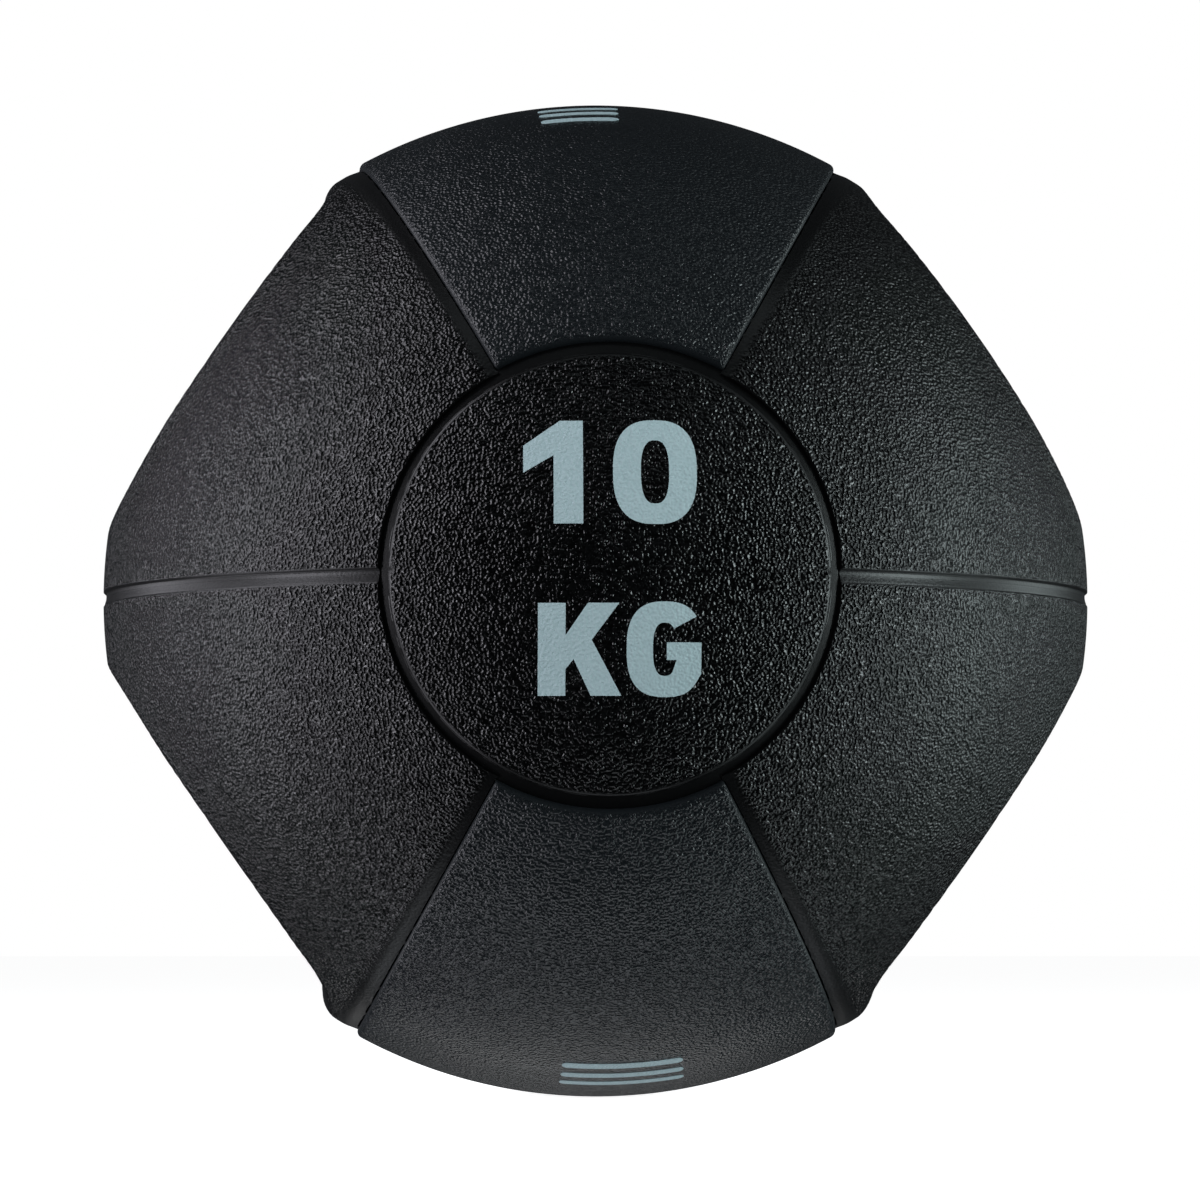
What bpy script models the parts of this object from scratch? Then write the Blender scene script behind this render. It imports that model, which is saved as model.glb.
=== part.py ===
"""Rubber medicine ball with two grip bars, 280 mm across, built as the real one comes apart.

Frame: the origin is the ball's centre. The grip bars lie at -X and +X and run along Y, the front
weight disc faces -Y, and the joint between the two shells is the plane z = 0. Metres, +Z up.
"""
import math

import bmesh
import bpy
from mathutils import Matrix, Vector

# Driving dimensions, in metres and degrees.
SHELL_RADIUS = 0.1390           # black rubber, over the cheeks, grip bars and discs
BAND_RADIUS = 0.1400            # grey band, a millimetre proud of the black
BAND_THICKNESS = 0.0045
BAND_HALF_ANGLE = 29.0          # each side of +Z and -Z, about the Y axis
NOTCH_ANGLE = 0.6               # open notch beside the band, to each side
NOTCH_DEPTH = 0.0012

DISC_RADIUS = 0.0590            # weight disc, to the near edge of its ring groove
RING_OUTER_RADIUS = 0.0618      # far edge of the ring groove
RING_DEPTH = 0.0018
BAND_END_RADIUS = 0.0624        # where the bands stop, seen along Y
BED_END_RADIUS = 0.0614         # where a band's bed stops, inside the ring groove
NOTCH_END_RADIUS = 0.0607

JOINT_GAP = 0.0003              # between pieces that touch
SEAM_RISE = 0.0015              # height of the seam groove's upper lip
SEAM_FALL = 0.0023              # and of its lower lip
SEAM_DEPTH = 0.0008

COLUMN_HALF_WIDTH = 0.0768      # flat wall of the hand hole, next to the core
BAR_INNER_X = 0.1070            # inner face of a grip bar
HAND_HOLE_HALF_LENGTH = 0.0500
HAND_HOLE_CORNER = 0.0120
SCOOP_ANGLE = 35.0              # a scoop's direction above or below the X axis
SCOOP_DISTANCE = 0.1472         # from the ball's centre to the scoop's centre
SCOOP_RADIUS = 0.0634

CAVITY_HALF_WIDTH = 0.0600      # drum-shaped cavity for the filling, along X
CAVITY_RADIUS = 0.1180          # and across X
CAVITY_POWER = 3.2              # of its superellipse section
BLADDER_THICKNESS = 0.0030
NECK_RADIUS = 0.0100            # filling neck in the top of the bladder
PLUG_FLANGE_RADIUS = 0.0150
PLUG_FLANGE_THICKNESS = 0.0030
CURVE_DROP = 0.0020             # how far the drum's top falls away across the plug

BALL_STEPS = 56                 # round the Y axis
ARC_STEPS = 20                  # along a band, from end to end
BAND_STEPS = 10                 # across a band
DISC_POINTS = 5
SEAM_STEPS = 24
SCOOP_SEGMENTS = 36
SCOOP_RINGS = 18
CORNER_STEPS = 5                # in each rounded corner of a hand hole
NECK_SEGMENTS = 24
CAVITY_STEPS = 28
CAVITY_POINTS = 14
CLEAR = 0.0200                  # how far a cutter runs past the surface it opens

BLACK_RUBBER = ((0.016, 0.017, 0.018), 0.55)
GREY_RUBBER = ((0.052, 0.060, 0.068), 0.55)
BLADDER_RUBBER = ((0.090, 0.060, 0.035), 0.60)
PLUG_RUBBER = ((0.200, 0.030, 0.020), 0.60)
FILLING = ((0.240, 0.200, 0.140), 0.90)


def clear_scene():
    """Empty the scene, so the file holds only the ball."""
    for obj in list(bpy.data.objects):
        bpy.data.objects.remove(obj, do_unlink=True)


def make_material(name, look):
    """A Principled BSDF material of one colour and roughness."""
    colour, roughness = look
    material = bpy.data.materials.new(name)
    material.use_nodes = True
    shader = material.node_tree.nodes["Principled BSDF"]
    shader.inputs["Base Color"].default_value = (*colour, 1.0)
    shader.inputs["Roughness"].default_value = roughness
    shader.inputs["Metallic"].default_value = 0.0
    return material


def add_object(name, bm, material=None):
    """Put a bmesh in the scene as an object with outward faces; without a material it is a cutter."""
    bmesh.ops.recalc_face_normals(bm, faces=bm.faces)
    mesh = bpy.data.meshes.new(name)
    bm.to_mesh(mesh)
    bm.free()
    obj = bpy.data.objects.new(name, mesh)
    bpy.context.scene.collection.objects.link(obj)
    if material is None:
        obj.hide_render = True
        obj.display_type = "WIRE"
    else:
        mesh.materials.append(material)
        mesh.shade_smooth()
        mesh.set_sharp_from_angle(angle=math.radians(30))
    return obj


def cut(obj, cutter, operation="DIFFERENCE"):
    """Add an exact Boolean with a cutter."""
    modifier = obj.modifiers.new(f"{operation.lower()} {cutter.name}", "BOOLEAN")
    modifier.operation = operation
    modifier.solver = "EXACT"
    modifier.object = cutter


def arc(radius, start, end, steps):
    """Points (y, r) on a circle about the centre; start and end are (r, -1 in front or 1 behind)."""
    first, last = (math.atan2(r, side * math.sqrt(radius**2 - r**2)) for r, side in (start, end))
    points = []
    for i in range(steps + 1):
        angle = first + (last - first) * i / steps
        points.append((radius * math.cos(angle), radius * math.sin(angle)))
    return points


def spun_about_y(outline, start_degrees, sweep_degrees, steps):
    """Turn an outline of (y, r) points about Y; angle 0 is +Z, positive towards +X."""
    bm = bmesh.new()
    turn = Matrix.Rotation(math.radians(start_degrees), 4, "Y")
    verts = [bm.verts.new(turn @ Vector((0.0, y, r))) for y, r in outline]
    full = sweep_degrees >= 360.0
    if full:
        geometry = [bm.edges.new(pair) for pair in zip(verts, verts[1:])]
    else:
        geometry = [bm.faces.new(verts)]
    bmesh.ops.spin(bm, geom=geometry, cent=(0, 0, 0), axis=(0, 1, 0),
                   angle=math.radians(sweep_degrees), steps=steps, use_merge=full)
    bmesh.ops.remove_doubles(bm, verts=bm.verts, dist=1e-6)
    return bm


def ball_outline():
    """Half section of the black ball: front disc, ring groove, sphere, ring groove, back disc."""
    disc = arc(SHELL_RADIUS, (0.0, -1), (DISC_RADIUS, -1), DISC_POINTS)
    floor = arc(SHELL_RADIUS - RING_DEPTH, (DISC_RADIUS, -1), (RING_OUTER_RADIUS, -1), 1)
    sphere = arc(SHELL_RADIUS, (RING_OUTER_RADIUS, -1), (RING_OUTER_RADIUS, 1), ARC_STEPS)
    front = disc + floor
    back = [(-y, r) for y, r in reversed(front)]
    return front + sphere + back


def band_outline(inner_radius, outer_radius, end_radius):
    """Section of a band, or of its bed, from the front ring over the top to the back ring."""
    outer = arc(outer_radius, (end_radius, -1), (end_radius, 1), ARC_STEPS)
    inner = arc(inner_radius, (end_radius, 1), (end_radius, -1), ARC_STEPS)
    return outer + inner


def band_segment(name, side_angle, inner_radius, outer_radius, end_radius, half_angle, material=None):
    """A band-shaped solid, centred on side_angle degrees about Y (0 is the top)."""
    outline = band_outline(inner_radius, outer_radius, end_radius)
    bm = spun_about_y(outline, side_angle - half_angle, 2 * half_angle, BAND_STEPS)
    return add_object(name, bm, material)


def box(name, low, high):
    """An axis-aligned box cutter."""
    bm = bmesh.new()
    size = Vector(high) - Vector(low)
    centre = (Vector(high) + Vector(low)) / 2
    matrix = Matrix.Translation(centre) @ Matrix.Diagonal((*size, 1.0))
    bmesh.ops.create_cube(bm, size=1.0, matrix=matrix)
    return add_object(name, bm)


def half_space(name, up):
    """A box that holds everything on one side of the joint plane."""
    reach = BAND_RADIUS + CLEAR
    near = up * JOINT_GAP / 2
    far = up * reach
    return box(name, (-reach, -reach, min(near, far)), (reach, reach, max(near, far)))


def finger_slot(name, side):
    """The upright slot between the core and a grip bar, with rounded corners; it runs into the core."""
    bm = bmesh.new()
    height = SCOOP_DISTANCE * math.sin(math.radians(SCOOP_ANGLE))
    length = 2 * HAND_HOLE_HALF_LENGTH
    depth = 2 * (BAR_INNER_X - COLUMN_HALF_WIDTH)
    centre = Vector((side * (BAR_INNER_X - depth / 2), 0.0, 0.0))
    matrix = Matrix.Translation(centre) @ Matrix.Diagonal((depth, length, 2 * height, 1.0))
    bmesh.ops.create_cube(bm, size=1.0, matrix=matrix)
    upright = []
    for edge in bm.edges:
        start, end = (vert.co for vert in edge.verts)
        if abs(start.z - end.z) > height and side * start.x > COLUMN_HALF_WIDTH:
            upright.append(edge)
    bmesh.ops.bevel(bm, geom=upright, offset=HAND_HOLE_CORNER, segments=CORNER_STEPS,
                    profile=0.5, affect="EDGES")
    return add_object(name, bm)


def scoop(name, side, up):
    """The round scoop that opens a finger slot to the outside."""
    bm = bmesh.new()
    tilt = math.radians(SCOOP_ANGLE)
    centre = Vector((side * math.cos(tilt), 0.0, up * math.sin(tilt))) * SCOOP_DISTANCE
    matrix = Matrix.Translation(centre) @ Matrix.Rotation(math.radians(90), 4, "X")
    bmesh.ops.create_uvsphere(bm, u_segments=SCOOP_SEGMENTS, v_segments=SCOOP_RINGS,
                              radius=SCOOP_RADIUS, matrix=matrix)
    return add_object(name, bm)


def hand_hole(name, side, up):
    """All that is open between the core's flat wall and a grip bar, in one half of the ball."""
    hole = finger_slot(name, side)
    reach = BAND_RADIUS + 4 * CLEAR
    low_x, high_x = sorted((side * COLUMN_HALF_WIDTH, side * reach))
    cut(hole, scoop(f"{name}_scoop", side, up), "UNION")
    cut(hole, box(f"{name}_side", (low_x, -reach, -reach), (high_x, reach, reach)), "INTERSECT")
    return hole


def seam_groove(name, side):
    """The shallow groove over the joint, from the front ring round a grip bar to the back ring."""
    bm = bmesh.new()
    floor = SHELL_RADIUS - SEAM_DEPTH
    slope = CLEAR / SEAM_DEPTH
    section = [(floor, 0.0), (floor + CLEAR, SEAM_RISE * slope), (floor + CLEAR, -SEAM_FALL * slope)]
    spread = 90 - math.degrees(math.asin(RING_OUTER_RADIUS / SHELL_RADIUS))
    middle = 0 if side > 0 else 180
    turn = Matrix.Rotation(math.radians(middle - spread), 4, "Z")
    verts = [bm.verts.new(turn @ Vector((r, 0.0, z))) for r, z in section]
    face = bm.faces.new(verts)
    bmesh.ops.spin(bm, geom=[face], cent=(0, 0, 0), axis=(0, 0, 1),
                   angle=math.radians(2 * spread), steps=SEAM_STEPS)
    return add_object(name, bm)


def drum(name, shrink, material=None):
    """The cavity's drum shape about X, smaller all round by shrink: a superellipse, turned."""
    bm = bmesh.new()
    half_width = CAVITY_HALF_WIDTH - shrink
    radius = CAVITY_RADIUS - shrink
    exponent = 2 / CAVITY_POWER
    points = []
    for i in range(CAVITY_POINTS + 1):
        angle = math.pi * i / CAVITY_POINTS
        across = abs(math.cos(angle)) ** exponent * math.copysign(1, math.cos(angle))
        along = math.sin(angle) ** exponent if 0 < i < CAVITY_POINTS else 0.0
        points.append((-half_width * across, 0.0, radius * along))
    verts = [bm.verts.new(point) for point in points]
    edges = [bm.edges.new(pair) for pair in zip(verts, verts[1:])]
    bmesh.ops.spin(bm, geom=edges, cent=(0, 0, 0), axis=(1, 0, 0), angle=math.radians(360),
                   steps=CAVITY_STEPS, use_merge=True)
    bmesh.ops.remove_doubles(bm, verts=bm.verts, dist=1e-6)
    return add_object(name, bm, material)


def upright_cylinder(name, radius, bottom, top, material=None):
    """A cylinder on the Z axis."""
    bm = bmesh.new()
    matrix = Matrix.Translation((0, 0, (bottom + top) / 2))
    bmesh.ops.create_cone(bm, cap_ends=True, segments=NECK_SEGMENTS, radius1=radius, radius2=radius,
                          depth=top - bottom, matrix=matrix)
    return add_object(name, bm, material)


def make_shell(name, up, material, cavity, grooves):
    """One rubber half: ball, halved at the joint, less its band bed, hand holes, groove and cavity."""
    shell = add_object(name, spun_about_y(ball_outline(), 0.0, 360.0, BALL_STEPS), material)
    cut(shell, half_space(f"{name}_half_space", up), "INTERSECT")
    top = 0 if up > 0 else 180
    gap_angle = math.degrees(JOINT_GAP / RING_OUTER_RADIUS)
    bed = band_segment(f"{name}_band_bed", top, BAND_RADIUS - BAND_THICKNESS - JOINT_GAP,
                       BAND_RADIUS + CLEAR, BED_END_RADIUS, BAND_HALF_ANGLE + gap_angle)
    notch = band_segment(f"{name}_band_notch", top, SHELL_RADIUS - NOTCH_DEPTH,
                         BAND_RADIUS + CLEAR / 2, NOTCH_END_RADIUS, BAND_HALF_ANGLE + NOTCH_ANGLE)
    cut(shell, bed)
    cut(shell, notch)
    for side, word in ((-1, "left"), (1, "right")):
        cut(shell, hand_hole(f"{name}_{word}_hole", side, up))
        cut(shell, grooves[side])
    cut(shell, cavity)
    return shell


def make_band(name, up, material):
    """One grey band, in its bed."""
    top = 0 if up > 0 else 180
    return band_segment(name, top, BAND_RADIUS - BAND_THICKNESS, BAND_RADIUS, BAND_END_RADIUS,
                        BAND_HALF_ANGLE, material)


def make_filling_set(bladder_material, plug_material, filling_material):
    """The bladder with its neck, the plug in the neck and the filling inside."""
    bladder = drum("filling_bladder", JOINT_GAP, bladder_material)
    inside = drum("bladder_inside", JOINT_GAP + BLADDER_THICKNESS)
    inner_top = CAVITY_RADIUS - JOINT_GAP - BLADDER_THICKNESS
    neck = upright_cylinder("bladder_neck", NECK_RADIUS, inner_top - CLEAR, CAVITY_RADIUS + CLEAR)
    cut(bladder, inside)
    cut(bladder, neck)

    flange_top = inner_top - CURVE_DROP - JOINT_GAP
    flange_bottom = flange_top - PLUG_FLANGE_THICKNESS
    plug = upright_cylinder("bladder_plug", NECK_RADIUS - JOINT_GAP, flange_bottom,
                            CAVITY_RADIUS - CURVE_DROP, plug_material)
    flange = upright_cylinder("plug_flange", PLUG_FLANGE_RADIUS, flange_bottom, flange_top)
    cut(plug, flange, "UNION")

    filling = drum("weight_filling", 2 * JOINT_GAP + BLADDER_THICKNESS, filling_material)
    seat = upright_cylinder("plug_seat", PLUG_FLANGE_RADIUS + JOINT_GAP,
                            flange_bottom - JOINT_GAP, CAVITY_RADIUS + CLEAR)
    cut(filling, seat)


def build_ball():
    """Make every piece of the ball."""
    clear_scene()
    black = make_material("black_rubber", BLACK_RUBBER)
    grey = make_material("grey_rubber", GREY_RUBBER)
    cavity = drum("shell_cavity", 0.0)
    grooves = {-1: seam_groove("seam_groove_left", -1), 1: seam_groove("seam_groove_right", 1)}
    make_shell("upper_shell", 1, black, cavity, grooves)
    make_shell("lower_shell", -1, black, cavity, grooves)
    make_band("upper_band", 1, grey)
    make_band("lower_band", -1, grey)
    make_filling_set(make_material("bladder_rubber", BLADDER_RUBBER),
                     make_material("plug_rubber", PLUG_RUBBER),
                     make_material("filling", FILLING))


build_ball()
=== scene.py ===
"""Looks of a two-grip medicine ball: rubber shells, grey bands, plain printed marks and a pale studio."""
import math

import bmesh
import bpy
import numpy as np
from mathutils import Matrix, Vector


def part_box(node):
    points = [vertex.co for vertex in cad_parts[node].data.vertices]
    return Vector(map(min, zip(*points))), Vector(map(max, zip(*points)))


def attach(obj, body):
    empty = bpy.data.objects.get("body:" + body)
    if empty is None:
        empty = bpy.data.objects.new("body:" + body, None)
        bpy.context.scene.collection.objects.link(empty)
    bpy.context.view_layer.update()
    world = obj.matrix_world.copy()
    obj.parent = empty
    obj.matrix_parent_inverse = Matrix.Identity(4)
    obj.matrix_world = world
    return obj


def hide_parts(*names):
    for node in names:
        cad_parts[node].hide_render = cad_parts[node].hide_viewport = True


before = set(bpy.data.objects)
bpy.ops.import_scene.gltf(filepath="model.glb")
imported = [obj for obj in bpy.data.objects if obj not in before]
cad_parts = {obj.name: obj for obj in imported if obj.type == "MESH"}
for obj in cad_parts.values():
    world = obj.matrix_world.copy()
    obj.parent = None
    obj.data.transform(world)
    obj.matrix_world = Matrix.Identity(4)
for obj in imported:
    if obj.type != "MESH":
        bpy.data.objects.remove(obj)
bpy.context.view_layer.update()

# Sizes are in metres and angles in degrees, unless a comment says otherwise. A pair of numbers is where a
# step starts and where it is complete. The ball's radii come from the frame.
MM = 0.001
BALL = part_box("upper_shell")[1].y           # black rubber, to the discs' middles
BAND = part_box("upper_band")[1].z            # grey band

# Grey bands
BAND_INNER = BAND - 0.0045
BAND_EDGE = 29.0                            # each side of the Z axis, about Y
BAND_END = 0.0624                           # the bands stop this far from the Y axis
BAND_ROUNDING = 0.0020
BAND_ROUND_STEPS = 6
BAND_STEP = 0.0024                          # mesh spacing
BAND_GRAIN = (0.0004, 0.0010)               # in from the edge, smooth to grained

# Hand holes: a wall and a slot behind each grip bar, and a round scoop over and under the bar
COLUMN_HALF_WIDTH = 0.0768                  # flat wall of a hand hole
BAR_INNER_X = 0.1070
SLOT_HALF_LENGTH = 0.0500
SLOT_CORNER = 0.0120
SCOOP_DISTANCE = 0.1472
SCOOP_ANGLE = 35.0
SCOOP_RADIUS = 0.0634
DISH_DEPTH = 0.0022                         # the scoop sinks by this much more below the shoulders
DISH_BELOW = (0.098, 0.110)                 # between these heights
DISH_ABOVE = (0.116, 0.121)
INNER_CORNER = 0.0060                       # concave corner at the foot of the wall
BAR_INNER_ROUNDING = 0.0080
BAR_ROUNDING = 0.0056
RIM_ROUNDING = 0.0034
BAR_TO_RIM = (0.024, 0.050)                 # heights between which one rounding becomes the other

# Ring groove round each disc, seen along Y: a rounded lip on the disc's side, a steep wall on the other
RING_INNER = 0.0582
RING_OUTER = 0.0609
RING_DEPTH = 0.0011
RING_WALL = (-0.0003, 0.0002)               # past RING_OUTER
RING_OPEN = 0.0005                          # from here to RING_OUTER the groove runs on into a bed
LIP_START = 0.0009                          # before RING_INNER
LIP_WIDTH = 0.0015
LIP_STEEP = 0.7                             # the share of its width after which the lip drops fast

# Beds of the bands, and the sloping smooth strips beside them
BED_END = 0.0623
BED_EDGE = BAND_EDGE - 0.10                 # inside the band's side, so that no slit shows
BED_RADIUS = BAND_INNER - 0.0003
BED_WALL = 0.05                             # degrees over which a bed's side drops
EDGE_SLACK = 0.01                           # degrees, so that the loop on a bed's edge counts as beside it
BED_END_WALL = 0.00006                      # half the length over which its end drops
RAMP_DEPTH = 0.0006
RAMP_WIDTH = 0.0046
RAMP_START = 0.0004                         # before the band's edge, and before RING_OUTER
STRIP_EDGE = 31.7                           # smooth to about this angle
STRIP_FADE = 1.0
STRIP_GRAIN = 0.08                          # what is left of the grain there, from 0 to 1

# Joint of the two shells at half height: a groove over the cheeks and bars, a fine line over the discs
SEAM_GAP = 0.00002                          # half the joint's gap
SEAM_SNAP = 3 * SEAM_GAP                    # vertices this near half height belong to the joint's face
SEAM_DEPTH = 0.0008
SEAM_RISE = 0.0018                          # the groove's upper edge, above the joint
SEAM_FALL = 0.0023                          # its lower edge, below the joint
SEAM_UPPER_SLOPE = 0.0007
SEAM_LOWER_SLOPE = (-0.0020, -0.0024)
SEAM_SHALLOWER = 0.00045                    # its floor rises by this much below the joint
SEAM_SHALLOWER_AT = -0.0021                 # and has risen fully here
SEAM_STARTS = (-0.0008, -0.0004)            # past RING_OUTER
SEAM_GRAIN = 0.05
SEAM_GRAIN_UPPER = SEAM_RISE + 0.0003       # fully grained again above and below these
SEAM_GRAIN_LOWER = -0.00255
LINE_DEPTH = 0.00018
LINE_HEIGHT = 0.0018                        # above half height
LINE_HALF_WIDTH = 0.0004
NOTCH_DEPTH = 0.0006                        # where the line nicks a disc's lip
NOTCH_HEIGHT = 0.0016
NOTCH_SIDE = (0.0005, 0.0014)
NOTCH_STARTS = (-0.0014, -0.0004)           # past RING_INNER
NOTCH_STOP = 0.001                          # before RING_OUTER

# Where the grain ends at the ring groove, and where the ball's skin ends in a hand hole
DISC_GRAIN_ENDS = (-0.0012, -0.0006)        # past RING_INNER
CHEEK_GRAIN_STARTS = (0.0001, 0.0005)       # past RING_OUTER
SKIN_FROM = BALL - 0.0008
SKIN_FULL = BALL - 0.00005

# Edge loops of the shells' mesh, in mm past each edge, or in degrees past a bed's edge
RING_INNER_LOOPS = (-1.9, -0.9, -0.6, -0.4, -0.2, 0.0, 0.2, 0.4, 0.6, 0.9)
RING_OUTER_LOOPS = (-0.6, -0.3, -0.2, -0.1, 0.0, 0.1, 0.4, 0.8)
BED_END_LOOPS = (-0.05, 0.05)
BED_EDGE_LOOPS = (-0.06, 0.0, 0.3, 0.8, 1.3, 2.0)
UPPER_SEAM_LOOPS = (0.6, 1.1, 1.3, 1.5, 1.8, 2.1)
LOWER_SEAM_LOOPS = (0.7, 1.4, 1.95, 2.1, 2.3, 2.55)

# Cavity for the filling
CAVITY_HALF_WIDTH = 0.0600
CAVITY_RADIUS = 0.1180
CAVITY_POWER = 3.2
CAVITY_ROWS = 40
CAVITY_STEPS = 48

# Mesh of the shells
VOXEL = 0.0018
NET_REACH = 0.1430                          # the net's grid reaches this far from the centre
NET_BELOW = 2.5 * VOXEL                     # and this far past the joint
SHELL_SHARP = 50.0                          # edges that turn by more than this are sharp
PIECE_SHARP = 40.0

# Rubber: heights and glosses are shares from 0 to 1
GRAIN_SIZE = 0.00125
PEBBLE_PITCH = 0.60                         # the noise's wavelength, as a share of GRAIN_SIZE
PEBBLE_RANGE = (0.2, 0.8)                   # the noise between these makes the whole height
FINE_SCALE = 2.6                            # finer bumps on the pebbles: waves per GRAIN_SIZE
FINE_HEIGHT = 0.05
SATIN_SCALE = 900.0                         # the faint unevenness of all the rubber, in waves per metre
SATIN_HEIGHT = 0.02
CLOUD_SCALE = 28.0                          # slow changes of tone and roughness
CLOUD_RANGE = (0.3, 0.7)
CLOUD_ROUGH = 0.03
VALLEY_SHADE_TONE = 0.2                             # the lighter tone's share in a valley, kept low there as painted shade; a pebble's top adds 1
SMOOTH_ROUGH = 0.36                         # roughness where there is no grain
VALLEY_SHADE_RANGE = (0.30, 0.60)                  # a pebble's specular tint grows between these heights, out of the painted shade in its valleys
VALLEY_SHADE_TINT = 0.12                         # from this: the valleys' reflection dimmed as painted shade
SMOOTH_GLOSS = 0.75                         # gloss where there is no grain

MOTTLE_RANGE = (0.35, 0.65)                 # of the noise that colours the inner pieces

# Printed marks
INK_THICKNESS = 0.0001
BAR_ANGLE = 72.0                            # the plain bars' place on a band, from the Y axis
BAR_SPACING = 8.0                           # in mm, as the marks' outlines are
BAR_HEIGHT = 3.6


# ---------------------------------------------------------------- the shells' shape

def rounded_and(a, b, radius):
    """Signed distance of what two solids share, with the edge between them rounded."""
    over_a = np.maximum(a + radius, 0.0)
    over_b = np.maximum(b + radius, 0.0)
    return np.minimum(-radius, np.maximum(a, b)) + np.hypot(over_a, over_b)


def rounded_or(a, b, radius):
    """Signed distance of two solids together, with the corner between them filled."""
    under_a = np.maximum(radius - a, 0.0)
    under_b = np.maximum(radius - b, 0.0)
    return np.maximum(radius, np.minimum(a, b)) - np.hypot(under_a, under_b)


def smooth(low, high, value):
    """0 below low, 1 above high, and a smooth step between."""
    t = np.clip((value - low) / (high - low), 0.0, 1.0)
    return t * t * (3.0 - 2.0 * t)


def body_distance(points):
    """Signed distance to the black body without its grooves, negative inside."""
    x, y, z = np.abs(points).T
    ball = np.sqrt(x * x + y * y + z * z) - BALL
    tilt = math.radians(SCOOP_ANGLE)
    centre_x = SCOOP_DISTANCE * math.cos(tilt)
    centre_z = SCOOP_DISTANCE * math.sin(tilt)
    dish = DISH_DEPTH * smooth(*DISH_BELOW, z) * (1.0 - smooth(*DISH_ABOVE, z))
    scoop = np.sqrt((x - centre_x) ** 2 + y * y + (z - centre_z) ** 2) - SCOOP_RADIUS - dish
    side_x = x - (BAR_INNER_X - SLOT_CORNER)
    side_y = y - (SLOT_HALF_LENGTH - SLOT_CORNER)
    corner = np.hypot(np.maximum(side_x, 0.0), np.maximum(side_y, 0.0))
    slot = corner + np.minimum(np.maximum(side_x, side_y), 0.0) - SLOT_CORNER
    slot = np.maximum(slot, z - centre_z)
    outside_hole = rounded_and(-slot, -scoop, BAR_INNER_ROUNDING)
    behind = rounded_or(outside_hole, x - COLUMN_HALF_WIDTH, INNER_CORNER)
    rounding = BAR_ROUNDING + (RIM_ROUNDING - BAR_ROUNDING) * smooth(*BAR_TO_RIM, z)
    return rounded_and(ball, behind, rounding)


def gradient(points, step=2e-5):
    """The way out of the body at each point."""
    slopes = []
    for axis in range(3):
        shift = np.zeros(3)
        shift[axis] = step
        slopes.append(body_distance(points + shift) - body_distance(points - shift))
    slopes = np.stack(slopes, axis=1)
    return slopes / np.linalg.norm(slopes, axis=1, keepdims=True)


def cells_round(place, axes, cells):
    """The four grid cells round each grid edge at place, in turn, and whether each is inside the grid."""
    for step_a, step_b in ((1, 1), (0, 1), (0, 0), (1, 0)):
        cell = place.copy()
        cell[:, axes[0]] -= step_a
        cell[:, axes[1]] -= step_b
        yield cell, ((cell >= 0) & (cell < cells)).all(axis=1)


def surface_net(low, high):
    """Quads over the body's surface between two corners, one vertex in each grid cell it crosses."""
    axes = [np.arange(low[i], high[i] + VOXEL, VOXEL) for i in range(3)]
    grid = np.stack(np.meshgrid(*axes, indexing="ij"), axis=-1)
    values = body_distance(grid.reshape(-1, 3)).reshape(grid.shape[:3])
    inside = values < 0.0
    cells = np.array(values.shape) - 1

    # Each cell's vertex is the mean of the points where the surface crosses the cell's edges.
    total = np.zeros((*cells, 3))
    count = np.zeros(cells)
    crossings = []
    for axis in range(3):
        near = [slice(None)] * 3
        far = [slice(None)] * 3
        near[axis] = slice(0, -1)
        far[axis] = slice(1, None)
        near, far = tuple(near), tuple(far)
        place = np.argwhere(inside[near] != inside[far])
        before, after = values[near][tuple(place.T)], values[far][tuple(place.T)]
        point = place.astype(float)
        point[:, axis] += before / (before - after)
        crossings.append((axis, place, before < 0.0))
        for cell, good in cells_round(place, ((axis + 1) % 3, (axis + 2) % 3), cells):
            np.add.at(total, tuple(cell[good].T), point[good])
            np.add.at(count, tuple(cell[good].T), 1.0)
    active = count > 0
    index = np.full(cells, -1)
    index[active] = np.arange(active.sum())
    verts = total[active] / count[active][:, None] * VOXEL + np.array(low)

    # Each crossed edge makes one quad of the four cells round it, turned to face out of the body.
    quads = []
    for axis, place, leaving in crossings:
        ring = []
        for cell, good in cells_round(place, ((axis + 1) % 3, (axis + 2) % 3), cells):
            cell = np.clip(cell, 0, cells - 1)
            ring.append(np.where(good, index[tuple(cell.T)], -1))
        ring = np.stack(ring, axis=1)
        ring[~leaving] = ring[~leaving][:, ::-1]
        quads.append(ring[(ring >= 0).all(axis=1)])
    return verts, np.concatenate(quads)


def settle(verts, quads, rounds=4, corrections=2):
    """Even out the quads along the surface and put every vertex exactly on it."""
    pairs = np.concatenate([quads[:, [i, (i + 1) % 4]] for i in range(4)])
    pairs = np.concatenate([pairs, pairs[:, ::-1]])
    weight = np.bincount(pairs[:, 0], minlength=len(verts))[:, None]
    for _ in range(rounds):
        mean = np.stack([np.bincount(pairs[:, 0], verts[pairs[:, 1], i], len(verts))
                         for i in range(3)], axis=1) / weight
        verts = 0.5 * verts + 0.5 * mean
        for _ in range(corrections):
            verts = verts - gradient(verts) * body_distance(verts)[:, None]
    return verts


def cut_loops(bm, planes, snap=1e-6):
    """Add an edge loop where each plane (point, normal) crosses the mesh."""
    for point, normal in planes:
        geometry = bm.verts[:] + bm.edges[:] + bm.faces[:]
        bmesh.ops.bisect_plane(bm, geom=geometry, dist=snap, plane_co=point, plane_no=normal)


def ring_angle(radius):
    """Angle from the Y axis of a circle on the ball with this radius, in radians."""
    return math.asin(radius / BALL)


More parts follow.
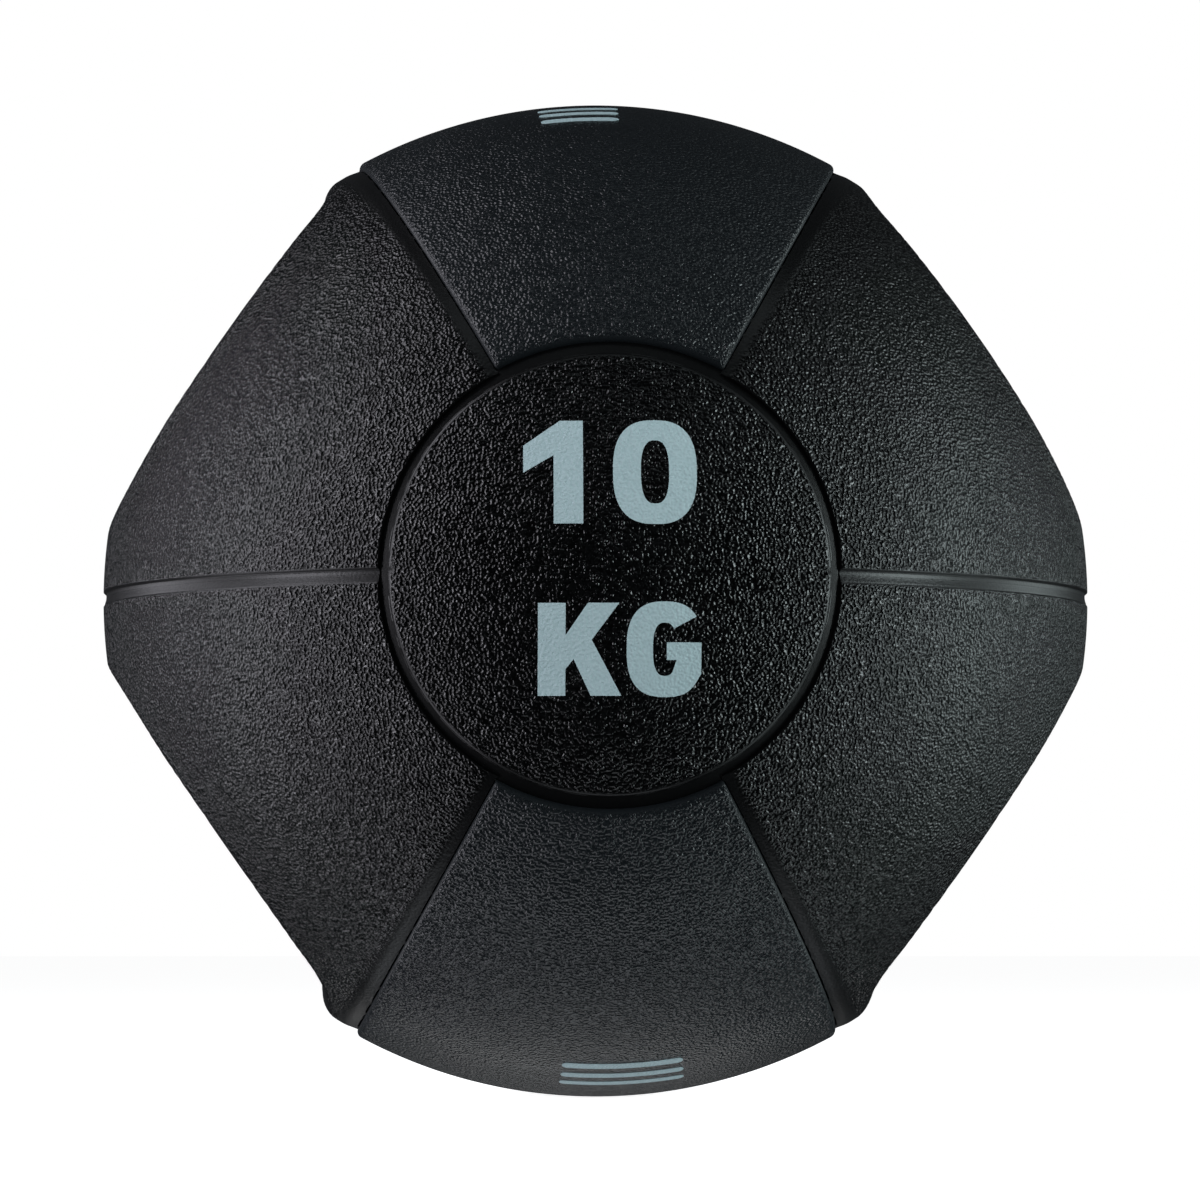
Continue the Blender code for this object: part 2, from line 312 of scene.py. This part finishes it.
def groove_planes(up):
    """Planes that carry the edge loops of every groove, step and smooth strip."""
    planes = []
    rings = ((RING_INNER, RING_INNER_LOOPS), (RING_OUTER, RING_OUTER_LOOPS), (BED_END, BED_END_LOOPS))
    for radius, offsets in rings:
        for offset in offsets:
            angle = ring_angle(radius) + offset * MM / BALL
            for side in (-1, 1):
                planes.append(((0, side * BALL * math.cos(angle), 0), (0, 1, 0)))
    for offset in BED_EDGE_LOOPS:
        angle = math.radians(BED_EDGE + offset)
        for side in (-1, 1):
            planes.append(((0, 0, 0), (math.cos(angle), 0, -side * up * math.sin(angle))))
    for height in UPPER_SEAM_LOOPS if up > 0 else LOWER_SEAM_LOOPS:
        planes.append(((0, 0, up * height * MM), (0, 0, 1)))
    return planes


def lip_fall(inner):
    """How far a disc's rounded lip has fallen to the ring groove's floor, from 0 to 1."""
    part = np.clip((inner + LIP_START) / LIP_WIDTH, 0.0, 1.0)
    return 1.0 - np.sqrt(1.0 - part ** 2) * (1.0 - smooth(LIP_STEEP, 1.0, part))


def ring_depth(inner, outer, across):
    """Depth of the ring groove, which has no outer wall where a band's bed follows it."""
    wall = 1.0 - smooth(*RING_WALL, outer)
    open_side = (across < BED_EDGE) & (outer > -RING_OPEN)
    return RING_DEPTH * lip_fall(inner) * np.where(open_side, 1.0, wall)


def bed_depth(along, across):
    """Depth of the bands' beds."""
    from_end = (along - ring_angle(BED_END)) * BALL
    starts = smooth(-BED_END_WALL, BED_END_WALL, from_end)
    return (BALL - BED_RADIUS) * starts * smooth(-BED_WALL, 0.0, BED_EDGE - across)


def ramp_depth(about, across, outer):
    """Depth of the smooth strips, which slope down towards the bands."""
    from_edge = np.radians(across - BAND_EDGE) * about
    slope = RAMP_DEPTH * (1.0 - smooth(-RAMP_START, RAMP_WIDTH, from_edge))
    return slope * (across >= BED_EDGE - EDGE_SLACK) * smooth(-RAMP_START, 0.0, outer)


def seam_depth(z, inner, outer):
    """Depth of the joint's groove over the cheeks, of its line over a disc and of the nick in the lip."""
    upper = SEAM_DEPTH * (1.0 - smooth(SEAM_RISE - SEAM_UPPER_SLOPE, SEAM_RISE, z))
    floor = SEAM_DEPTH - SEAM_SHALLOWER * smooth(0.0, SEAM_SHALLOWER_AT, z)
    lower = floor * (1.0 - smooth(*SEAM_LOWER_SLOPE, z))
    groove = np.where(z > 0.0, upper, lower) * smooth(*SEAM_STARTS, outer)
    line = LINE_DEPTH * (1.0 - smooth(0.0, LINE_HALF_WIDTH, np.abs(z - LINE_HEIGHT)))
    line = line * (1.0 - lip_fall(inner))
    notch = NOTCH_DEPTH * (1.0 - smooth(*NOTCH_SIDE, np.abs(z - NOTCH_HEIGHT)))
    notch = np.where(outer < -NOTCH_STOP, notch * smooth(*NOTCH_STARTS, inner), 0.0)
    return np.maximum(groove, np.maximum(line, notch))


def grain_share(z, across, inner, outer):
    """How grained the ball's skin is, from 0 to 1: less in the grooves and on the strips."""
    disc = 1.0 - smooth(*DISC_GRAIN_ENDS, inner)
    strip = smooth(STRIP_EDGE - STRIP_FADE, STRIP_EDGE + STRIP_FADE, across)
    seam = smooth(SEAM_RISE, SEAM_GRAIN_UPPER, z) + smooth(-SEAM_FALL, SEAM_GRAIN_LOWER, z)
    cheek = smooth(*CHEEK_GRAIN_STARTS, outer) * (STRIP_GRAIN + (1.0 - STRIP_GRAIN) * strip)
    return np.where(outer < 0.0, disc, cheek * np.maximum(seam, SEAM_GRAIN))


def surface_marks(points):
    """For each point: how far it sinks into a groove, and how grained it is (1) or smooth (0)."""
    x, _, z = points.T
    distance = np.linalg.norm(points, axis=1)
    skin = smooth(SKIN_FROM, SKIN_FULL, distance)
    about = np.hypot(x, z)
    along = np.arcsin(np.clip(about / distance, 0.0, 1.0))
    across = np.degrees(np.arctan2(np.abs(x), np.abs(z)))
    inner = (along - ring_angle(RING_INNER)) * BALL
    outer = (along - ring_angle(RING_OUTER)) * BALL
    depth = np.maximum(ring_depth(inner, outer, across), bed_depth(along, across))
    depth = np.maximum(depth, ramp_depth(about, across, outer))
    depth = np.maximum(depth, seam_depth(z, inner, outer))
    return depth * skin, grain_share(z, across, inner, outer) * skin


def cavity_wall(bm, up):
    """The filling's cavity: half of a superellipse turned about X, open at the joint."""
    exponent = 2 / CAVITY_POWER
    rows = []
    for i in range(1, CAVITY_ROWS):
        angle = math.pi * i / CAVITY_ROWS
        across = abs(math.cos(angle)) ** exponent * math.copysign(1, math.cos(angle))
        radius = CAVITY_RADIUS * math.sin(angle) ** exponent
        row = []
        for k in range(CAVITY_STEPS + 1):
            turn = math.pi * k / CAVITY_STEPS
            place = (-CAVITY_HALF_WIDTH * across, radius * math.cos(turn),
                     up * (SEAM_GAP + radius * math.sin(turn)))
            row.append(bm.verts.new(place))
        rows.append(row)
    ends = []
    for side in (-1, 1):
        ends.append(bm.verts.new((side * CAVITY_HALF_WIDTH, 0.0, up * SEAM_GAP)))
    for row, after in zip(rows, rows[1:]):
        for k in range(CAVITY_STEPS):
            face = (row[k], after[k], after[k + 1], row[k + 1])
            bm.faces.new(face if up > 0 else face[::-1])
    for end, row, forward in ((ends[0], rows[0], True), (ends[1], rows[-1], False)):
        for k in range(CAVITY_STEPS):
            face = (end, row[k], row[k + 1]) if forward == (up > 0) else (end, row[k + 1], row[k])
            bm.faces.new(face)


def finish_mesh(name, bm, material, node=None, sharp=PIECE_SHARP, flat=()):
    """Make an object of a bmesh, smooth but for the flat faces, and tie it to the frame."""
    for face in bm.faces:
        face.smooth = True
    for face in flat:
        face.smooth = False
    mesh = bpy.data.meshes.new(name)
    bm.to_mesh(mesh)
    bm.free()
    mesh.set_sharp_from_angle(angle=math.radians(sharp))
    mesh.materials.append(material)
    piece = bpy.data.objects.new(name, mesh)
    bpy.context.scene.collection.objects.link(piece)
    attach(piece, "root")
    if node:
        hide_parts(node)


def make_shell(name, node, up, verts, quads, material):
    """One rubber half with all its grooves, its cavity and the flat joint face."""
    bm = bmesh.new()
    made = [bm.verts.new(place) for place in verts * np.array((1.0, 1.0, up))]
    for quad in quads if up > 0 else quads[:, ::-1]:
        bm.faces.new([made[i] for i in quad])
    geometry = bm.verts[:] + bm.edges[:] + bm.faces[:]
    bmesh.ops.bisect_plane(bm, geom=geometry, dist=1e-7, plane_co=(0, 0, up * SEAM_GAP),
                           plane_no=(0, 0, -up), clear_outer=True)
    cut_loops(bm, groove_planes(up))
    places = np.array([vert.co for vert in bm.verts])
    depth, grain = surface_marks(places)
    places = places * (1.0 - depth / np.linalg.norm(places, axis=1))[:, None]
    layer = bm.verts.layers.float.new("grain")
    for vert, place, amount in zip(bm.verts, places, grain):
        vert.co = place
        vert[layer] = amount
        if abs(vert.co.z) < SEAM_SNAP:
            vert.co.z = up * SEAM_GAP
    cavity_wall(bm, up)
    open_edges = [edge for edge in bm.edges if edge.is_boundary]
    filled = bmesh.ops.triangle_fill(bm, edges=open_edges, use_beauty=True)
    joint = [item for item in filled["geom"] if isinstance(item, bmesh.types.BMFace)]
    bmesh.ops.recalc_face_normals(bm, faces=bm.faces)
    finish_mesh(name, bm, material, node, sharp=SHELL_SHARP, flat=joint)


# ---------------------------------------------------------------- bands

def edge_stations(length):
    """(distance from the start, drop) along a span whose two ends are rounded."""
    rounded = []
    for i in range(BAND_ROUND_STEPS + 1):
        turn = math.radians(90 * i / BAND_ROUND_STEPS)
        rounded.append((BAND_ROUNDING * (1 - math.cos(turn)), BAND_ROUNDING * (1 - math.sin(turn))))
    middle = length - 2 * BAND_ROUNDING
    count = round(middle / BAND_STEP)
    flat = [(BAND_ROUNDING + middle * i / count, 0.0) for i in range(1, count)]
    return rounded + flat + [(length - s, drop) for s, drop in reversed(rounded)]


def band_rows(bm, up, radius_of, end_angle):
    """Rows of vertices over one face of a band. Its edges keep their rounding's width all along."""
    layer = bm.verts.layers.float["grain"]
    ring = math.asin(BAND_END / BAND)
    length = BAND * (math.pi - 2 * ring)
    half_turn = math.radians(BAND_EDGE)
    width = 2 * half_turn * BAND
    rows = []
    for s, drop in edge_stations(length):
        angle = end_angle + (math.pi - 2 * end_angle) * s / length
        narrowing = math.sin(ring + (math.pi - 2 * ring) * s / length)
        row = []
        for t, fall in edge_stations(width):
            from_side = max(min(t, width - t), 0.0)
            middle = 2 * t / width - 1
            turn = half_turn * middle
            if from_side < 2 * BAND_ROUNDING:
                turn = math.copysign(half_turn - from_side / (BAND * narrowing), middle)
            radius = radius_of(drop + fall)
            about = radius * math.sin(angle)
            vert = bm.verts.new((about * math.sin(turn), -radius * math.cos(angle),
                                 up * about * math.cos(turn)))
            vert[layer] = float(smooth(*BAND_GRAIN, min(s, length - s, t, width - t)))
            row.append(vert)
        rows.append(row)
    for row, after in zip(rows, rows[1:]):
        for k in range(len(row) - 1):
            bm.faces.new((row[k], row[k + 1], after[k + 1], after[k]))
    return rows


def make_band(name, node, up, material):
    """One grey band with rounded edges, in its bed."""
    bm = bmesh.new()
    bm.verts.layers.float.new("grain")
    top = band_rows(bm, up, lambda drop: BAND - drop, math.asin(BAND_END / BAND))
    under = band_rows(bm, up, lambda drop: BAND_INNER, math.asin(BAND_END / BAND_INNER))
    loops = []
    for rows in (top, under):
        loops.append(rows[0] + [row[-1] for row in rows[1:]] + rows[-1][-2::-1]
                     + [row[0] for row in rows[-2:0:-1]])
    for k in range(len(loops[0])):
        after = (k + 1) % len(loops[0])
        bm.faces.new((loops[0][k], loops[0][after], loops[1][after], loops[1][k]))
    bmesh.ops.recalc_face_normals(bm, faces=bm.faces)
    finish_mesh(name, bm, material, node)


# ---------------------------------------------------------------- printed marks

def superellipse(centre, half_width, half_height, start, end, steps, power=2.6):
    """Points (x, z) along a rounded, slightly square oval, from one angle to another in degrees."""
    points = []
    for i in range(steps + 1):
        angle = math.radians(start + (end - start) * i / steps)
        c, s = math.cos(angle), math.sin(angle)
        points.append((centre[0] + half_width * math.copysign(abs(c) ** (2 / power), c),
                       centre[1] + half_height * math.copysign(abs(s) ** (2 / power), s)))
    return points


def capsule(centre, length, height):
    """A short bar with round ends."""
    points = []
    for side, start in ((1, -90), (-1, 90)):
        middle = (centre[0] + side * (length - height) / 2, centre[1])
        points += superellipse(middle, height / 2, height / 2, start, start + 180, 12, power=2.0)
    return points


def print_mark(name, outlines, place, material, step=2.0):
    """Thin ink on a curved surface: closed outlines in mm, carried there by place(x, z, lift)."""
    bm = bmesh.new()
    for outline in outlines:
        verts = [bm.verts.new((x, 0.0, z)) for x, z in outline]
        for i, vert in enumerate(verts):
            bm.edges.new((vert, verts[(i + 1) % len(verts)]))
    bmesh.ops.triangle_fill(bm, edges=bm.edges[:], use_beauty=True)
    for axis in (0, 2):
        normal = Vector((0.0, 0.0, 0.0))
        normal[axis] = 1.0
        low = min(vert.co[axis] for vert in bm.verts)
        high = max(vert.co[axis] for vert in bm.verts)
        count = math.ceil((high - low) / step)
        cut_loops(bm, [(normal * (low + i * step), normal) for i in range(1, count)], snap=1e-5)
    below = bm.verts[:]
    made = bmesh.ops.extrude_face_region(bm, geom=bm.faces[:])["geom"]
    above = [item for item in made if isinstance(item, bmesh.types.BMVert)]
    for verts, lift in ((below, -INK_THICKNESS), (above, INK_THICKNESS)):
        for vert in verts:
            vert.co = place(vert.co.x * MM, vert.co.z * MM, lift)
    bmesh.ops.recalc_face_normals(bm, faces=bm.faces)
    layer = bm.verts.layers.float.new("grain")
    for vert in bm.verts:
        vert[layer] = 1.0
    finish_mesh(name, bm, material)


def on_disc(x, z, lift):
    """A point on the front disc."""
    radius = BALL + lift
    return (x, -math.sqrt(radius * radius - x * x - z * z), z)


def on_band(up, middle):
    """Places points on a band, round a point middle degrees from the Y axis."""
    def place(x, z, lift):
        radius = BAND + lift
        angle = math.radians(middle) + up * z / BAND
        about = radius * math.sin(angle)
        turn = x / (BAND * math.sin(math.radians(middle)))
        return (about * math.sin(turn), -radius * math.cos(angle), up * about * math.cos(turn))
    return place


def print_marks(material):
    """The weight mark on the disc, and plain bars where the bands carry print."""
    one = [(-7.4, 12.5), (-7.4, 39.8), (-13.4, 39.8), (-23.0, 33.2), (-23.0, 26.0), (-15.1, 30.6),
           (-15.1, 12.5)]
    zero = superellipse((11.4, 26.2), 11.0, 13.8, 0, 360, 72)[:-1]
    counter = superellipse((11.4, 26.2), 3.7, 8.4, 0, 360, 48)[:-1]
    kay = [(-19.2, -32.3), (-12.0, -32.3), (-12.0, -25.4), (-9.9, -22.8), (-5.4, -32.3), (2.6, -32.3),
           (-5.2, -17.8), (2.0, -8.2), (-6.2, -8.2), (-12.0, -16.6), (-12.0, -8.2), (-19.2, -8.2)]
    centre = (13.9, -20.2)
    gee = superellipse(centre, 10.0, 12.4, 38, 318, 56)
    gee += [(23.5, -26.5), (23.5, -18.4), (14.4, -18.4), (14.4, -23.0), (17.0, -23.0)]
    gee += superellipse(centre, 3.1, 6.9, -55, -282, 40)[:-1]
    gee += superellipse(centre, 3.1, 6.9, 78, 46, 8)
    print_mark("weight_mark_one", [one], on_disc, material)
    print_mark("weight_mark_zero", [zero, counter], on_disc, material)
    print_mark("weight_mark_k", [kay], on_disc, material)
    print_mark("weight_mark_g", [gee], on_disc, material)
    for number, offset in enumerate((-BAR_SPACING, 0.0, BAR_SPACING), start=1):
        for half, up, middle, length in (("upper", 1, -6.0, 22.0), ("lower", -1, 6.0, 34.0)):
            bar = [capsule((middle, offset), length, BAR_HEIGHT)]
            print_mark(f"{half}_bar_{number}", bar, on_band(up, BAR_ANGLE), material)


# ---------------------------------------------------------------- materials

def new_material(name):
    """A new Principled material, with its node tree and its shader."""
    material = bpy.data.materials.new(name)
    material.use_nodes = True
    tree = material.node_tree
    return material, tree, tree.nodes["Principled BSDF"]


def add(tree, kind, **settings):
    """A node with its properties, or its input sockets, set by name."""
    node = tree.nodes.new(kind)
    for key, value in settings.items():
        if hasattr(node, key):
            setattr(node, key, value)
        else:
            node.inputs[key.replace("_", " ")].default_value = value
    return node


def map_range(tree, source, low, high, to_low, to_high):
    """A value carried from one range to another, and held at its ends."""
    node = add(tree, "ShaderNodeMapRange", clamp=True)
    for socket, value in zip(node.inputs[1:5], (low, high, to_low, to_high)):
        socket.default_value = value
    tree.links.new(source, node.inputs[0])
    return node.outputs[0]


def math_node(tree, operation, a, b):
    """Arithmetic on two sockets or numbers."""
    node = add(tree, "ShaderNodeMath", operation=operation)
    for socket, value in zip(node.inputs, (a, b)):
        if isinstance(value, (int, float)):
            socket.default_value = value
        else:
            tree.links.new(value, socket)
    return node.outputs[0]


def noise(tree, coordinates, scale, detail):
    """Noise from 0 to 1, with scale waves per metre."""
    node = add(tree, "ShaderNodeTexNoise", Scale=scale, Detail=detail)
    tree.links.new(coordinates, node.inputs["Vector"])
    return node.outputs["Fac"]


def set_colour(tree, shader, amount, colour, light_colour):
    """Colour the surface between two tones."""
    mix = add(tree, "ShaderNodeMix", data_type="RGBA")
    mix.inputs["A"].default_value = (*colour, 1.0)
    mix.inputs["B"].default_value = (*light_colour, 1.0)
    tree.links.new(amount, mix.inputs["Factor"])
    tree.links.new(mix.outputs["Result"], shader.inputs["Base Color"])


def set_relief(tree, shader, height, depth):
    """Raise the surface by height times depth."""
    bump = add(tree, "ShaderNodeBump", Strength=1.0, Distance=depth)
    tree.links.new(height, bump.inputs["Height"])
    tree.links.new(bump.outputs[0], shader.inputs["Normal"])


def pebble_height(tree, coordinates):
    """The height of a fine leather grain, from 0 to 1: low winding pebbles with finer bumps on them."""
    pebbles = noise(tree, coordinates, 1.0 / (PEBBLE_PITCH * GRAIN_SIZE), 0.0)
    crowned = map_range(tree, pebbles, *PEBBLE_RANGE, 0.0, 1.0)
    fine = noise(tree, coordinates, FINE_SCALE / GRAIN_SIZE, 0.0)
    return math_node(tree, "ADD", crowned, math_node(tree, "MULTIPLY", fine, FINE_HEIGHT))


def rubber(name, colour, light_colour, rough, grain_depth):
    """Moulded rubber: pebbled where the grain attribute is 1 and satin smooth where it is 0, with painted
    shade in the valleys between the pebbles.
    """
    material, tree, shader = new_material(name)
    coordinates = add(tree, "ShaderNodeTexCoord").outputs["Object"]
    grain = add(tree, "ShaderNodeAttribute", attribute_name="grain").outputs["Fac"]
    height = pebble_height(tree, coordinates)
    satin = noise(tree, coordinates, SATIN_SCALE, 3.0)
    cloud = noise(tree, coordinates, CLOUD_SCALE, 4.0)

    # The grain rises and falls about its middle height, so that it fades out without a step.
    grained = math_node(tree, "MULTIPLY", math_node(tree, "SUBTRACT", height, 0.5), grain)
    relief = math_node(tree, "ADD", grained, math_node(tree, "MULTIPLY", satin, SATIN_HEIGHT))
    set_relief(tree, shader, relief, grain_depth)
    # The base colour is darker in the valleys between the pebbles, as painted shade, and lighter on the
    # pebbles' tops.
    amount = math_node(tree, "MULTIPLY", cloud, math_node(tree, "ADD", height, VALLEY_SHADE_TONE))
    set_colour(tree, shader, amount, colour, light_colour)

    # The pebbles' tops shine; in the valleys between them the specular tint is dimmed as painted shade.
    pebbled = map_range(tree, height, *VALLEY_SHADE_RANGE, VALLEY_SHADE_TINT, 1.0)
    smooth_share = math_node(tree, "SUBTRACT", 1.0, grain)
    gloss = math_node(tree, "ADD", math_node(tree, "MULTIPLY", pebbled, grain),
                      math_node(tree, "MULTIPLY", smooth_share, SMOOTH_GLOSS))
    tree.links.new(gloss, shader.inputs["Specular Tint"])
    level = map_range(tree, grain, 0.0, 1.0, SMOOTH_ROUGH, rough)
    varied = map_range(tree, cloud, *CLOUD_RANGE, -CLOUD_ROUGH, CLOUD_ROUGH)
    tree.links.new(math_node(tree, "ADD", level, varied), shader.inputs["Roughness"])
    return material


def inner_look(node, colour, light_colour, rough, depth, scale):
    """A mottled material for a CAD piece inside the ball."""
    material, tree, shader = new_material(f"{node}_look")
    coordinates = add(tree, "ShaderNodeTexCoord").outputs["Object"]
    grains = noise(tree, coordinates, scale, 4.0)
    amount = map_range(tree, grains, *MOTTLE_RANGE, 0.0, 1.0)
    set_colour(tree, shader, amount, colour, light_colour)
    set_relief(tree, shader, grains, depth)
    shader.inputs["Roughness"].default_value = rough
    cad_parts[node].material_slots[0].material = material


# ---------------------------------------------------------------- build

# Each look: two tones, roughness, and the depth of its grain.
black = rubber("black_rubber_look", (0.0008, 0.0009, 0.0010), (0.0018, 0.0020, 0.0022), 0.21, 0.00038)
grey = rubber("grey_rubber_look", (0.0070, 0.0090, 0.0105), (0.0110, 0.0140, 0.0165), 0.26, 0.00040)
ink = rubber("printed_ink_look", (0.42, 0.57, 0.60), (0.52, 0.68, 0.72), 0.50, 0.00020)

net_verts, net_quads = surface_net((-NET_REACH, -NET_REACH, -NET_BELOW), (NET_REACH, NET_REACH, NET_REACH))
net_verts = settle(net_verts, net_quads)
make_shell("upper_shell_rubber", "upper_shell", 1, net_verts, net_quads, black)
make_shell("lower_shell_rubber", "lower_shell", -1, net_verts, net_quads, black)
make_band("upper_band_rubber", "upper_band", 1, grey)
make_band("lower_band_rubber", "lower_band", -1, grey)
print_marks(ink)
# Inner looks: two tones, roughness, depth of the relief, and waves per metre of the mottling.
inner_look("filling_bladder", (0.055, 0.034, 0.020), (0.085, 0.058, 0.036), 0.55, 0.0004, 120.0)
inner_look("bladder_plug", (0.110, 0.016, 0.012), (0.160, 0.030, 0.022), 0.50, 0.0003, 260.0)
inner_look("weight_filling", (0.030, 0.026, 0.022), (0.300, 0.240, 0.160), 0.90, 0.0015, 420.0)


# ---------------------------------------------------------------- studio

CAMERA_DISTANCE = 1.70
CAMERA_YAW = 1.75           # to the left of the ball's front
CAMERA_DROP = 3.2           # below its middle
SENSOR = 36.0
BALL_SHARE = 0.413          # the ball's radius, as a share of the frame's width
SHIFT = (0.00375, 0.00083)  # the ball sits a little off the frame's middle
FLOOR_HALF_SIZE = 12.0
FLOOR_TONE = (0.92, 0.92, 0.92)
FLOOR_ROUGH = 0.8
FLOOR_GLOW = 0.95

WHITE = (1.0, 1.0, 1.0)
LEFT_TINT = (0.932, 0.922, 1.0)
RIGHT_TINT = (0.857, 0.990, 1.0)
HIGH_TINT = (0.86, 0.97, 1.0)
LOW_TINT = (0.93, 0.98, 1.03)
FILL_TINT = (0.92, 1.0, 1.08)
FILL_STRENGTH = 0.025


def make_camera():
    """The camera stands in front of the ball, a little to the left and below."""
    yaw, drop = math.radians(CAMERA_YAW), math.radians(CAMERA_DROP)
    camera = bpy.data.objects.new("camera", bpy.data.cameras.new("camera"))
    camera.location = Vector((-math.sin(yaw) * math.cos(drop), -math.cos(yaw) * math.cos(drop),
                              -math.sin(drop))) * CAMERA_DISTANCE
    camera.rotation_euler = (-camera.location).to_track_quat("-Z", "Y").to_euler()
    camera.data.sensor_width = SENSOR
    camera.data.lens = SENSOR * BALL_SHARE * math.sqrt(CAMERA_DISTANCE**2 - BAND**2) / BAND
    camera.data.shift_x, camera.data.shift_y = SHIFT
    bpy.context.scene.collection.objects.link(camera)
    bpy.context.scene.camera = camera


def softbox(name, place, size, radiance, colour=WHITE, in_gloss=True):
    """A rectangular area light that faces the ball, as bright as radiance next to the white backdrop."""
    data = bpy.data.lights.new(name, "AREA")
    data.shape = "RECTANGLE"
    data.size, data.size_y = size
    data.energy = radiance * math.pi * size[0] * size[1]
    data.color = colour
    light = bpy.data.objects.new(name, data)
    light.location = place
    light.rotation_euler = (-Vector(place)).to_track_quat("-Z", "Y").to_euler()
    light.visible_camera = False
    light.visible_glossy = in_gloss
    bpy.context.scene.collection.objects.link(light)


def make_lights():
    """Softboxes all round the ball, strongest at the sides, and a fill that does not show in its gloss."""
    softbox("left_front_softbox", (-1.5, -0.54, 0.1), (0.5, 0.9), 8.0, LEFT_TINT)
    softbox("right_front_softbox", (1.5, -0.54, 0.1), (0.5, 0.9), 9.2, RIGHT_TINT)
    softbox("left_back_softbox", (-1.5, 0.7, 0.1), (0.8, 1.0), 2.2, LEFT_TINT)
    softbox("right_back_softbox", (1.5, 0.7, 0.1), (0.8, 1.0), 2.0, RIGHT_TINT)
    softbox("left_high_softbox", (-1.15, 0.0, 1.0), (1.2, 0.8), 3.1, LEFT_TINT)
    softbox("left_low_softbox", (-1.2, 0.0, -0.9), (1.2, 0.8), 2.1, LEFT_TINT)
    softbox("right_low_softbox", (1.2, 0.0, -0.9), (1.2, 0.8), 1.3, RIGHT_TINT)
    softbox("low_softbox", (0.0, 0.3, -1.5), (1.1, 1.4), 0.95, LOW_TINT)
    softbox("low_back_softbox", (0.0, 1.2, -0.9), (0.7, 0.6), 0.56)
    softbox("high_front_softbox", (0.1, -0.5, 1.5), (1.4, 0.4), 0.6, HIGH_TINT)
    softbox("right_high_softbox", (1.15, 0.0, 1.0), (1.2, 0.8), 0.6, HIGH_TINT)
    softbox("front_fill", (0.0, -2.2, 0.6), (1.6, 1.2), 2.5, in_gloss=False)


def make_world():
    """A white backdrop for the camera, and a weak fill for the ball."""
    world = bpy.data.worlds.new("studio")
    world.use_nodes = True
    bpy.context.scene.world = world
    tree = world.node_tree
    fill = tree.nodes["Background"]
    fill.inputs["Color"].default_value = (*FILL_TINT, 1.0)
    fill.inputs["Strength"].default_value = FILL_STRENGTH
    backdrop = add(tree, "ShaderNodeBackground", Color=(*WHITE, 1.0), Strength=1.0)
    path = add(tree, "ShaderNodeLightPath")
    choose = add(tree, "ShaderNodeMixShader")
    tree.links.new(path.outputs["Is Camera Ray"], choose.inputs[0])
    tree.links.new(fill.outputs[0], choose.inputs[1])
    tree.links.new(backdrop.outputs[0], choose.inputs[2])
    tree.links.new(choose.outputs[0], tree.nodes["World Output"].inputs["Surface"])
    bpy.context.scene.view_settings.view_transform = "Standard"


def make_floor():
    """A pale floor that throws no light on the ball and does not show in its gloss."""
    material, _, shader = new_material("floor")
    shader.inputs["Base Color"].default_value = (*FLOOR_TONE, 1.0)
    shader.inputs["Roughness"].default_value = FLOOR_ROUGH
    shader.inputs["Emission Color"].default_value = (*WHITE, 1.0)
    shader.inputs["Emission Strength"].default_value = FLOOR_GLOW
    bm = bmesh.new()
    bmesh.ops.create_grid(bm, x_segments=1, y_segments=1, size=FLOOR_HALF_SIZE)
    mesh = bpy.data.meshes.new("floor")
    bm.to_mesh(mesh)
    bm.free()
    mesh.materials.append(material)
    floor = bpy.data.objects.new("floor", mesh)
    floor.location.z = -BAND
    floor.visible_diffuse = False
    floor.visible_glossy = False
    floor.visible_shadow = False
    bpy.context.scene.collection.objects.link(floor)


make_camera()
make_lights()
make_world()
make_floor()
